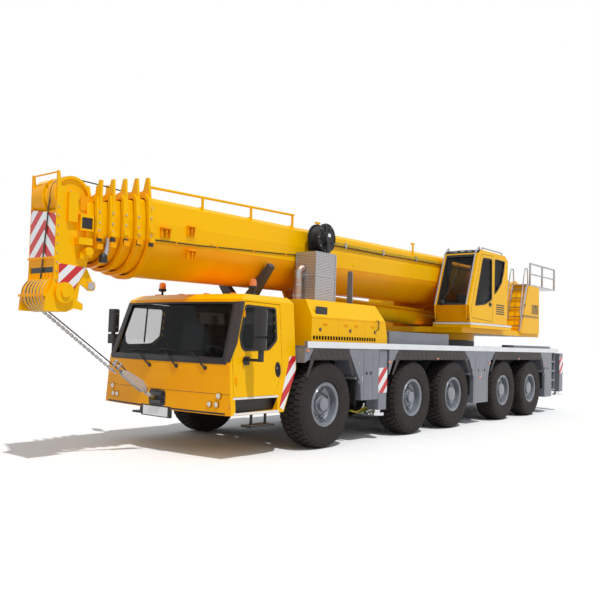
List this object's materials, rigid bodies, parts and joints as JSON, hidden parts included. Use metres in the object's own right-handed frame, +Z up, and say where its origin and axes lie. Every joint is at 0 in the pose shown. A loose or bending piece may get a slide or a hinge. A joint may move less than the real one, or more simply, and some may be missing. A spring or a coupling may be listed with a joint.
{
  "type": "mobile crane",
  "caption": "All-terrain mobile crane: road carrier with outriggers, turning superstructure, crane cab and a telescopic boom that luffs and extends.",
  "frame": {"origin": "on the ground below the middle of the crane's overall length and width", "axes": "+X forward along the boom at rest, +Y to the crane's left, +Z up"},
  "size_m": [15.2576, 3.46, 3.8822],
  "materials": {
    "yellow": "gloss",
    "boom_yellow": "gloss",
    "deck_grey": "satin",
    "frame_grey": "satin",
    "axle_black": "satin",
    "engine": "matt",
    "steel": "brushed",
    "rim_silver": "satin",
    "rubber": "matt",
    "glass": "clear",
    "interior": "matt",
    "chrome": "polished",
    "beam_yellow": "satin",
    "reel_black": "matt"
  },
  "bodies": {
    "carrier": {"chassis_frame": "frame_grey", "boom_rest": "frame_grey", "side_decks": "deck_grey", "axle_beams": "axle_black", "engine_block": "engine", "engine_hood": "yellow", "exhaust_guard": "steel", "driver_cab_shell": "yellow", "driver_cab_glass": "glass", "driver_cab_interior": "interior"},
    "driver_door_left": {"driver_door_left": "yellow", "door_glass_left": "glass"},
    "driver_door_right": {"driver_door_right": "yellow", "door_glass_right": "glass"},
    "knuckle_1_left": {"knuckle_1_left": "axle_black"},
    "knuckle_1_right": {"knuckle_1_right": "axle_black"},
    "knuckle_2_left": {"knuckle_2_left": "axle_black"},
    "knuckle_2_right": {"knuckle_2_right": "axle_black"},
    "wheel_1_left": {"tyre_1_left": "rubber", "rim_1_left": "rim_silver"},
    "wheel_1_right": {"tyre_1_right": "rubber", "rim_1_right": "rim_silver"},
    "wheel_2_left": {"tyre_2_left": "rubber", "rim_2_left": "rim_silver"},
    "wheel_2_right": {"tyre_2_right": "rubber", "rim_2_right": "rim_silver"},
    "wheel_3_left": {"tyre_3_left": "rubber", "rim_3_left": "rim_silver"},
    "wheel_3_right": {"tyre_3_right": "rubber", "rim_3_right": "rim_silver"},
    "wheel_4_left": {"tyre_4_left": "rubber", "rim_4_left": "rim_silver"},
    "wheel_4_right": {"tyre_4_right": "rubber", "rim_4_right": "rim_silver"},
    "wheel_5_left": {"tyre_5_left": "rubber", "rim_5_left": "rim_silver"},
    "wheel_5_right": {"tyre_5_right": "rubber", "rim_5_right": "rim_silver"},
    "outrigger_beam_front_left": {"outrigger_beam_front_left": "beam_yellow"},
    "outrigger_jack_front_left": {"outrigger_jack_front_left": "chrome"},
    "outrigger_beam_front_right": {"outrigger_beam_front_right": "beam_yellow"},
    "outrigger_jack_front_right": {"outrigger_jack_front_right": "chrome"},
    "outrigger_beam_rear_left": {"outrigger_beam_rear_left": "beam_yellow"},
    "outrigger_jack_rear_left": {"outrigger_jack_rear_left": "chrome"},
    "outrigger_beam_rear_right": {"outrigger_beam_rear_right": "beam_yellow"},
    "outrigger_jack_rear_right": {"outrigger_jack_rear_right": "chrome"},
    "slew": {"slew_platform": "yellow", "walkways": "steel"},
    "crane_cab": {"crane_cab_shell": "yellow", "crane_cab_glass": "glass", "crane_cab_interior": "interior"},
    "boom": {"boom_base": "boom_yellow", "hose_reel": "reel_black"},
    "luffing_barrel": {"luffing_barrel": "yellow"},
    "luffing_rod": {"luffing_rod": "chrome"},
    "boom_section_1": {"boom_section_1": "boom_yellow"},
    "boom_section_2": {"boom_section_2": "boom_yellow"},
    "boom_section_3": {"boom_section_3": "boom_yellow"},
    "boom_section_4": {"boom_section_4": "boom_yellow"},
    "boom_head": {"boom_head": "boom_yellow"}
  },
  "joints": [
    {"name": "driver_door_left_hinge", "type": "hinge", "parent": "carrier", "child": "driver_door_left", "pos_m": [5.35615, 1.337, 1.31], "axis": [0, 0.09, -0.9959], "range_deg": [0, 65]},
    {"name": "driver_door_right_hinge", "type": "hinge", "parent": "carrier", "child": "driver_door_right", "pos_m": [5.35615, -1.337, 1.31], "axis": [0, 0.09, 0.9959], "range_deg": [0, 65]},
    {"name": "steer_1_left", "type": "hinge", "parent": "carrier", "child": "knuckle_1_left", "pos_m": [3.37115, 1.02, 0.685], "axis": [0, 0, 1], "range_deg": [-30, 30]},
    {"name": "steer_1_right", "type": "hinge", "parent": "carrier", "child": "knuckle_1_right", "pos_m": [3.37115, -1.02, 0.685], "axis": [0, 0, 1], "range_deg": [-30, 30]},
    {"name": "steer_2_left", "type": "hinge", "parent": "carrier", "child": "knuckle_2_left", "pos_m": [0.67115, 1.02, 0.685], "axis": [0, 0, 1], "range_deg": [-17, 17]},
    {"name": "steer_2_right", "type": "hinge", "parent": "carrier", "child": "knuckle_2_right", "pos_m": [0.67115, -1.02, 0.685], "axis": [0, 0, 1], "range_deg": [-17, 17]},
    {"name": "wheel_1_left_spin", "type": "hinge", "parent": "knuckle_1_left", "child": "wheel_1_left", "pos_m": [3.37115, 1.26, 0.685], "axis": [0, 1, 0], "continuous": true},
    {"name": "wheel_1_right_spin", "type": "hinge", "parent": "knuckle_1_right", "child": "wheel_1_right", "pos_m": [3.37115, -1.26, 0.685], "axis": [0, 1, 0], "continuous": true},
    {"name": "wheel_2_left_spin", "type": "hinge", "parent": "knuckle_2_left", "child": "wheel_2_left", "pos_m": [0.67115, 1.26, 0.685], "axis": [0, 1, 0], "continuous": true},
    {"name": "wheel_2_right_spin", "type": "hinge", "parent": "knuckle_2_right", "child": "wheel_2_right", "pos_m": [0.67115, -1.26, 0.685], "axis": [0, 1, 0], "continuous": true},
    {"name": "wheel_3_left_spin", "type": "hinge", "parent": "carrier", "child": "wheel_3_left", "pos_m": [-0.97885, 1.26, 0.685], "axis": [0, 1, 0], "continuous": true},
    {"name": "wheel_3_right_spin", "type": "hinge", "parent": "carrier", "child": "wheel_3_right", "pos_m": [-0.97885, -1.26, 0.685], "axis": [0, 1, 0], "continuous": true},
    {"name": "wheel_4_left_spin", "type": "hinge", "parent": "carrier", "child": "wheel_4_left", "pos_m": [-3.46885, 1.26, 0.685], "axis": [0, 1, 0], "continuous": true},
    {"name": "wheel_4_right_spin", "type": "hinge", "parent": "carrier", "child": "wheel_4_right", "pos_m": [-3.46885, -1.26, 0.685], "axis": [0, 1, 0], "continuous": true},
    {"name": "wheel_5_left_spin", "type": "hinge", "parent": "carrier", "child": "wheel_5_left", "pos_m": [-5.11885, 1.26, 0.685], "axis": [0, 1, 0], "continuous": true},
    {"name": "wheel_5_right_spin", "type": "hinge", "parent": "carrier", "child": "wheel_5_right", "pos_m": [-5.11885, -1.26, 0.685], "axis": [0, 1, 0], "continuous": true},
    {"name": "beam_front_left_slide", "type": "slide", "parent": "carrier", "child": "outrigger_beam_front_left", "axis": [0, 1, 0], "range_m": [0, 1.6]},
    {"name": "jack_front_left_slide", "type": "slide", "parent": "outrigger_beam_front_left", "child": "outrigger_jack_front_left", "axis": [0, 0, -1], "range_m": [0, 0.6]},
    {"name": "beam_front_right_slide", "type": "slide", "parent": "carrier", "child": "outrigger_beam_front_right", "axis": [0, -1, 0], "range_m": [0, 1.6]},
    {"name": "jack_front_right_slide", "type": "slide", "parent": "outrigger_beam_front_right", "child": "outrigger_jack_front_right", "axis": [0, 0, -1], "range_m": [0, 0.6]},
    {"name": "beam_rear_left_slide", "type": "slide", "parent": "carrier", "child": "outrigger_beam_rear_left", "axis": [0, 1, 0], "range_m": [0, 1.6]},
    {"name": "jack_rear_left_slide", "type": "slide", "parent": "outrigger_beam_rear_left", "child": "outrigger_jack_rear_left", "axis": [0, 0, -1], "range_m": [0, 0.6]},
    {"name": "beam_rear_right_slide", "type": "slide", "parent": "carrier", "child": "outrigger_beam_rear_right", "axis": [0, -1, 0], "range_m": [0, 1.6]},
    {"name": "jack_rear_right_slide", "type": "slide", "parent": "outrigger_beam_rear_right", "child": "outrigger_jack_rear_right", "axis": [0, 0, -1], "range_m": [0, 0.6]},
    {"name": "slew_turn", "type": "hinge", "parent": "carrier", "child": "slew", "pos_m": [-2.92885, 0, 1.8], "axis": [0, 0, 1], "continuous": true},
    {"name": "crane_cab_tilt", "type": "hinge", "parent": "slew", "child": "crane_cab", "pos_m": [-3.65885, 1.035, 2.19], "axis": [0, -1, 0], "range_deg": [0, 20]},
    {"name": "boom_luff", "type": "hinge", "parent": "slew", "child": "boom", "pos_m": [-6.22885, 0, 3.15], "axis": [0, -1, 0], "range_deg": [0, 82]},
    {"name": "luffing_barrel_turn", "type": "hinge", "parent": "slew", "child": "luffing_barrel", "pos_m": [-2.82885, 0, 2.27], "axis": [0, -1, 0], "range_deg": [0, 99]},
    {"name": "luffing_rod_slide", "type": "slide", "parent": "luffing_barrel", "child": "luffing_rod", "axis": [0.9998, 0, 0.0174], "range_m": [0, 4.25]},
    {"name": "telescope_1", "type": "slide", "parent": "boom", "child": "boom_section_1", "axis": [0.9999, 0, -0.0148], "range_m": [0, 8.9]},
    {"name": "telescope_2", "type": "slide", "parent": "boom_section_1", "child": "boom_section_2", "axis": [0.9999, 0, -0.0148], "range_m": [0, 8.9]},
    {"name": "telescope_3", "type": "slide", "parent": "boom_section_2", "child": "boom_section_3", "axis": [0.9999, 0, -0.0148], "range_m": [0, 8.9]},
    {"name": "telescope_4", "type": "slide", "parent": "boom_section_3", "child": "boom_section_4", "axis": [0.9999, 0, -0.0148], "range_m": [0, 8.9]},
    {"name": "telescope_5", "type": "slide", "parent": "boom_section_4", "child": "boom_head", "axis": [0.9999, 0, -0.0148], "range_m": [0, 8.9]}
  ],
  "couplings": [
    {"joint": "steer_1_right", "follows": "steer_1_left", "ratio": 1},
    {"joint": "steer_2_left", "follows": "steer_1_left", "ratio": 0.56},
    {"joint": "steer_2_right", "follows": "steer_1_left", "ratio": 0.56},
    {"joint": "luffing_barrel_turn", "follows": "boom_luff", "ratio": 1.1915},
    {"joint": "luffing_rod_slide", "follows": "boom_luff", "m_per_rad": 2.9303},
    {"joint": "telescope_2", "follows": "telescope_1", "ratio": 1},
    {"joint": "telescope_3", "follows": "telescope_1", "ratio": 1},
    {"joint": "telescope_4", "follows": "telescope_1", "ratio": 1},
    {"joint": "telescope_5", "follows": "telescope_1", "ratio": 1}
  ]
}
